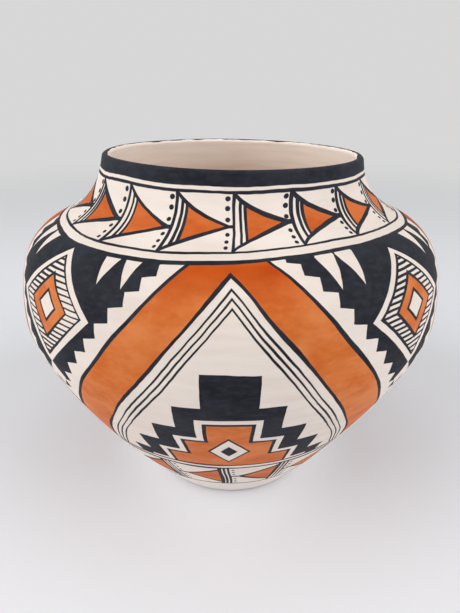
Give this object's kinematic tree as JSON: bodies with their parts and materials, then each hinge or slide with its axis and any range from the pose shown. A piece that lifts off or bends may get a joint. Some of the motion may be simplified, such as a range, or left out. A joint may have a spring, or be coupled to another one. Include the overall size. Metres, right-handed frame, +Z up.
{
  "type": "coiled pottery jar",
  "caption": "Wide-shouldered hand-coiled clay jar with a short neck, rounded lip and hollowed foot, built as a moulded base and stacked coils, painted in black and orange on white slip.",
  "frame": {"origin": "centre of the foot, on the surface that the jar stands on", "axes": "+Z up along the jar's axis; -Y is the side that the picture shows"},
  "size_m": [0.28, 0.28, 0.2327],
  "materials": {
    "bare_slip": "matt, stone-polished white slip, unpainted",
    "painted_slip": "matt white slip painted with black and orange mineral paint, bare clay inside",
    "rim_paint": "matt black mineral paint over white slip, with thin black lines below"
  },
  "bodies": {
    "root": {"base": "bare_slip", "coil_01": "painted_slip", "coil_02": "painted_slip", "coil_03": "painted_slip", "coil_04": "painted_slip", "coil_05": "painted_slip", "coil_06": "painted_slip", "coil_07": "painted_slip", "coil_08": "painted_slip", "coil_09": "painted_slip", "coil_10": "painted_slip", "coil_11": "painted_slip", "rim_coil": "rim_paint"}
  },
  "joints": []
}
